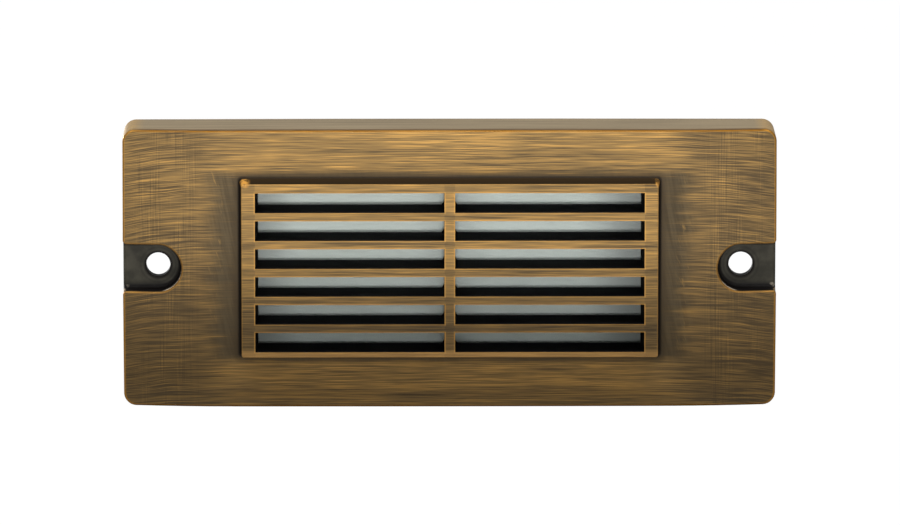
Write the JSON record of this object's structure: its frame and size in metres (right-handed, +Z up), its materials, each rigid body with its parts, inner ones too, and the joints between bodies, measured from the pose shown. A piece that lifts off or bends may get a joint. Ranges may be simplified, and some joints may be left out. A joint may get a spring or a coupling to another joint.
{
  "type": "step light",
  "caption": "Surface-mounted rectangular step light: a cast brass plate with a raised louvred window over a glass lens, and a notched screw lug at each end.",
  "frame": {"origin": "middle of the plane in which the plate's rim touches the wall", "axes": "+X to the right along the plate, +Y into the wall, +Z up; the louvres face -Y"},
  "size_m": [0.14, 0.02, 0.0602],
  "materials": {
    "antique_brass": "cast, horizontally brushed, darkened in the hollows and lacquered",
    "silicone": "matte translucent silicone",
    "clear_glass": "clear, polished",
    "opal_sheet": "satin opal",
    "white_nylon": "moulded, fine matte",
    "white_board": "white solder mask over an aluminium core",
    "led_white": "moulded, glossy",
    "led_phosphor": "matte silicone",
    "thermal_rubber": "soft, matte",
    "green_board": "green solder mask",
    "black_package": "moulded, fine matte",
    "ferrite": "sintered, matte",
    "can_aluminium": "drawn, satin",
    "ceramic": "fired ceramic",
    "zinc_steel": "zinc plated",
    "nickel_brass": "machined",
    "natural_nylon": "moulded, translucent off-white",
    "red_wire": "extruded insulation",
    "black_wire": "extruded insulation",
    "solder": "bright tin",
    "cover_steel": "stainless sheet, dull",
    "black_rubber": "matte",
    "foam_rubber": "closed-cell foam"
  },
  "bodies": {
    "root": {"faceplate": "antique_brass", "lens_gasket": "silicone", "lens": "clear_glass", "diffuser": "opal_sheet", "lens_retainer": "white_nylon", "led_board": "white_board", "led_packages": "led_white", "led_phosphors": "led_phosphor", "thermal_pad": "thermal_rubber", "driver_board": "green_board", "bridge_rectifier": "black_package", "driver_chip": "black_package", "power_inductor": "ferrite", "smoothing_capacitor": "can_aluminium", "ceramic_capacitors": "ceramic", "chip_resistors": "black_package", "board_screws": "zinc_steel", "terminal_block": "natural_nylon", "terminal_barrels": "nickel_brass", "terminal_clamp_screws": "zinc_steel", "terminal_mount_screw": "zinc_steel", "supply_lead_positive": "red_wire", "supply_lead_negative": "black_wire", "led_lead_positive": "red_wire", "led_lead_negative": "black_wire", "solder_joints": "solder", "back_cover": "cover_steel", "cover_seal": "black_rubber", "cover_screws": "zinc_steel", "cable_grommet": "black_rubber", "wall_gasket": "foam_rubber"}
  },
  "joints": []
}
